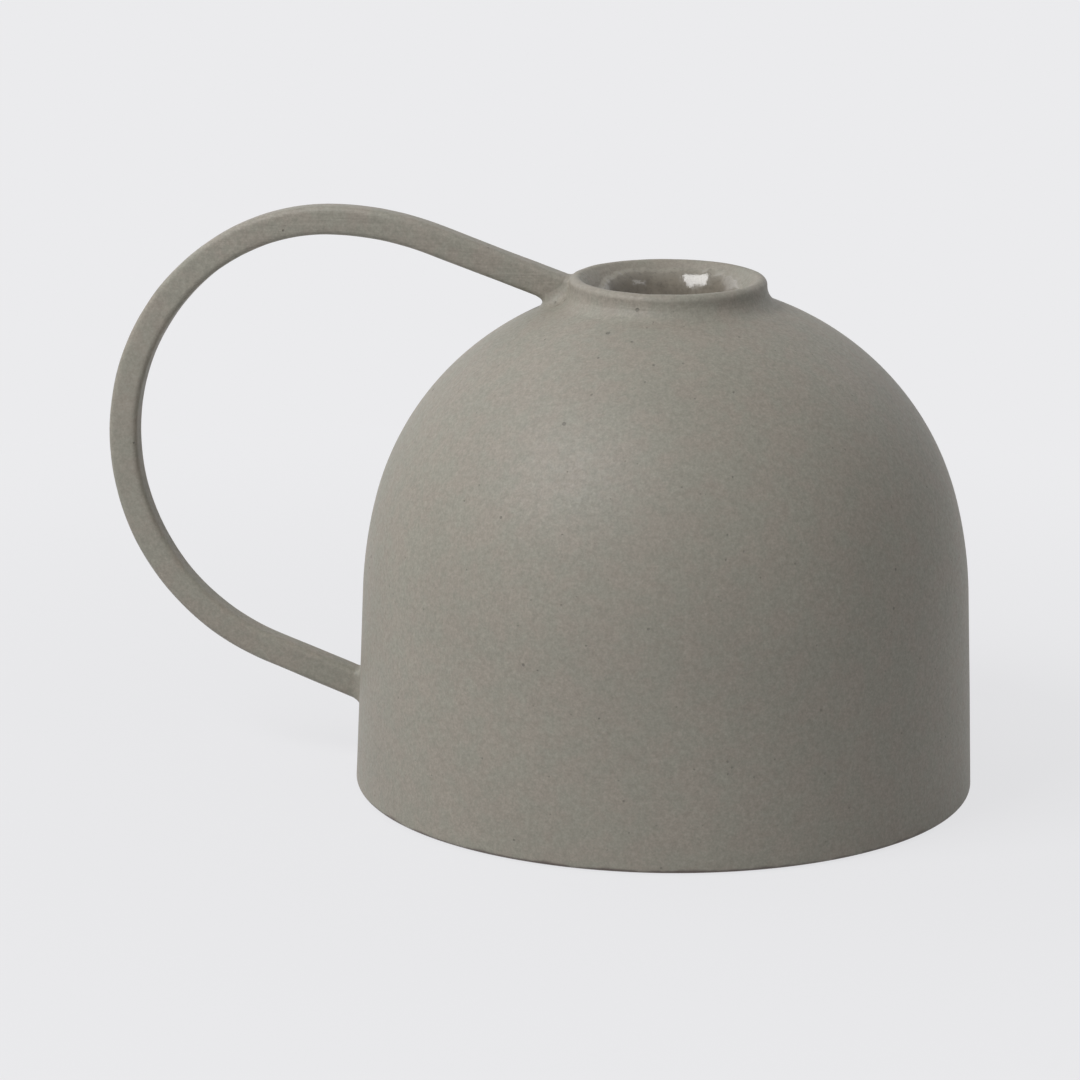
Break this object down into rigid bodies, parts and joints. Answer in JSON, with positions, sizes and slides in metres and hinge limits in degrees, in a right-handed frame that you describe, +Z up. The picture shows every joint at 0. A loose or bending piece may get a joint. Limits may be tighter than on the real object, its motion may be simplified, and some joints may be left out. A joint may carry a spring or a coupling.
{
  "type": "candle holder",
  "caption": "Bell-shaped stoneware holder for one table candle, hollow and open underneath, with a short flared neck, a glazed socket and a thin loop handle.",
  "frame": {"origin": "on the table plane, below the middle of the whole length from the loop's back to the far side of the body", "axes": "+Z up along the candle, -X towards the loop handle, +Y across the loop"},
  "size_m": [0.1612, 0.114, 0.1055],
  "materials": {
    "stoneware": "unglazed matte stoneware with fine speckle",
    "slip": "matte fired slip of the same clay",
    "glaze": "glossy translucent glaze over the clay"
  },
  "bodies": {
    "root": {"dome_shell": "stoneware", "foot_ring": "stoneware", "collar": "stoneware", "candle_cup": "stoneware", "cup_lute": "slip", "glaze_lining": "glaze", "handle_strap": "stoneware", "upper_lute": "slip", "lower_lute": "slip"}
  },
  "joints": []
}
